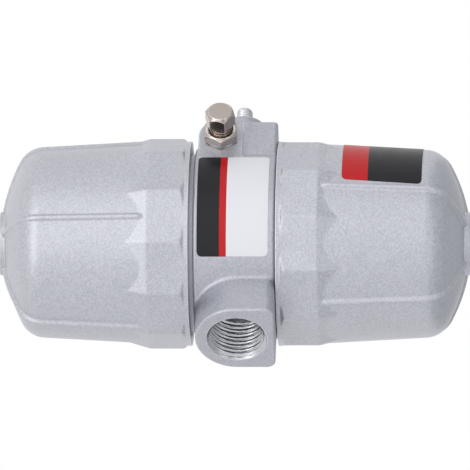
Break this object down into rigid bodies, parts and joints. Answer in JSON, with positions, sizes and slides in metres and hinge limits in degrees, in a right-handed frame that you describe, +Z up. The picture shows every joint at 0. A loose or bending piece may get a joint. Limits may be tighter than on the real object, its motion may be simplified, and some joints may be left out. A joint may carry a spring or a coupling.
{
  "type": "automatic drain valve",
  "caption": "Float-operated drain trap for compressed air: ribbed cast bowls on both sides of a ported body, with a manual drain screw and a hose nipple.",
  "frame": {"origin": "centre of the end face of the lower bowl", "axes": "+Z up the common axis of the two bowls; -Y out of the inlet port; +Y out of the outlet nipple; +X out of the manual drain screw"},
  "size_m": [0.0803, 0.109, 0.164],
  "materials": {
    "coated_aluminium": "silver-grey powder coat with a fine hammered grain on die-cast aluminium",
    "bare_aluminium": "bright turned aluminium",
    "nickel_plated_brass": "polished nickel plate on brass",
    "turned_brass": "turned brass",
    "stainless_steel": "drawn and pressed stainless steel",
    "nitrile_rubber": "moulded nitrile rubber",
    "acetal": "natural white acetal",
    "float_foam": "skinned closed-cell float",
    "label_film": "printed self-adhesive film in plain colour bands"
  },
  "bodies": {
    "valve": {"valve_body": "coated_aluminium", "rod_bush": "turned_brass", "rod_seal": "nitrile_rubber", "valve_seat": "turned_brass", "cylinder_sleeve": "turned_brass", "cylinder_cover": "acetal", "snap_ring": "stainless_steel", "return_spring": "stainless_steel", "dip_tube": "turned_brass", "strainer": "stainless_steel", "float_clip": "stainless_steel", "pilot_nozzle": "turned_brass", "lever_bracket": "stainless_steel", "lever_pin": "stainless_steel", "bracket_screws": "stainless_steel", "drain_bonnet": "nickel_plated_brass", "bonnet_washer": "acetal", "outlet_nipple": "bare_aluminium", "body_label": "label_film", "upper_bowl_seal": "nitrile_rubber", "lower_bowl_seal": "nitrile_rubber"},
    "upper_bowl": {"upper_bowl": "coated_aluminium"},
    "lower_bowl": {"lower_bowl": "coated_aluminium", "bowl_label": "label_film"},
    "piston": {"piston": "acetal", "piston_seal": "nitrile_rubber", "piston_rod": "stainless_steel", "rod_nut": "turned_brass", "valve_disc": "nitrile_rubber"},
    "float": {"float": "float_foam"},
    "pilot_lever": {"pilot_lever": "stainless_steel", "pilot_pad": "nitrile_rubber"},
    "drain_seal": {"screw_seal": "nitrile_rubber"},
    "drain_screw": {"drain_screw": "nickel_plated_brass"}
  },
  "joints": [
    {"name": "upper_bowl_off", "type": "slide", "parent": "valve", "child": "upper_bowl", "axis": [0, 0, 1], "range_m": [0, 0.045]},
    {"name": "lower_bowl_off", "type": "slide", "parent": "valve", "child": "lower_bowl", "axis": [0, 0, -1], "range_m": [0, 0.07]},
    {"name": "piston_lift", "type": "slide", "parent": "valve", "child": "piston", "axis": [0, 0, 1], "range_m": [0, 0.004], "stiffness_N_per_m": 1800, "springref_m": -0.004, "deforming": ["return_spring"]},
    {"name": "float_rise", "type": "slide", "parent": "valve", "child": "float", "axis": [0, 0, 1], "range_m": [0, 0.006]},
    {"name": "pilot_lever_tilt", "type": "hinge", "parent": "valve", "child": "pilot_lever", "pos_m": [-0.009, 0, 0.066], "axis": [0, -1, 0], "range_deg": [0, 16.5]},
    {"name": "drain_screw_travel", "type": "slide", "parent": "valve", "child": "drain_seal", "axis": [1, 0, 0], "range_m": [0, 0.0025]},
    {"name": "drain_screw_turn", "type": "hinge", "parent": "drain_seal", "child": "drain_screw", "pos_m": [0, 0.022, 0.08675], "axis": [1, 0, 0], "range_deg": [0, 720]}
  ],
  "couplings": [
    {"joint": "pilot_lever_tilt", "follows": "float_rise", "rad_per_m": 47.782},
    {"joint": "drain_screw_turn", "follows": "drain_screw_travel", "rad_per_m": 5026.5}
  ]
}
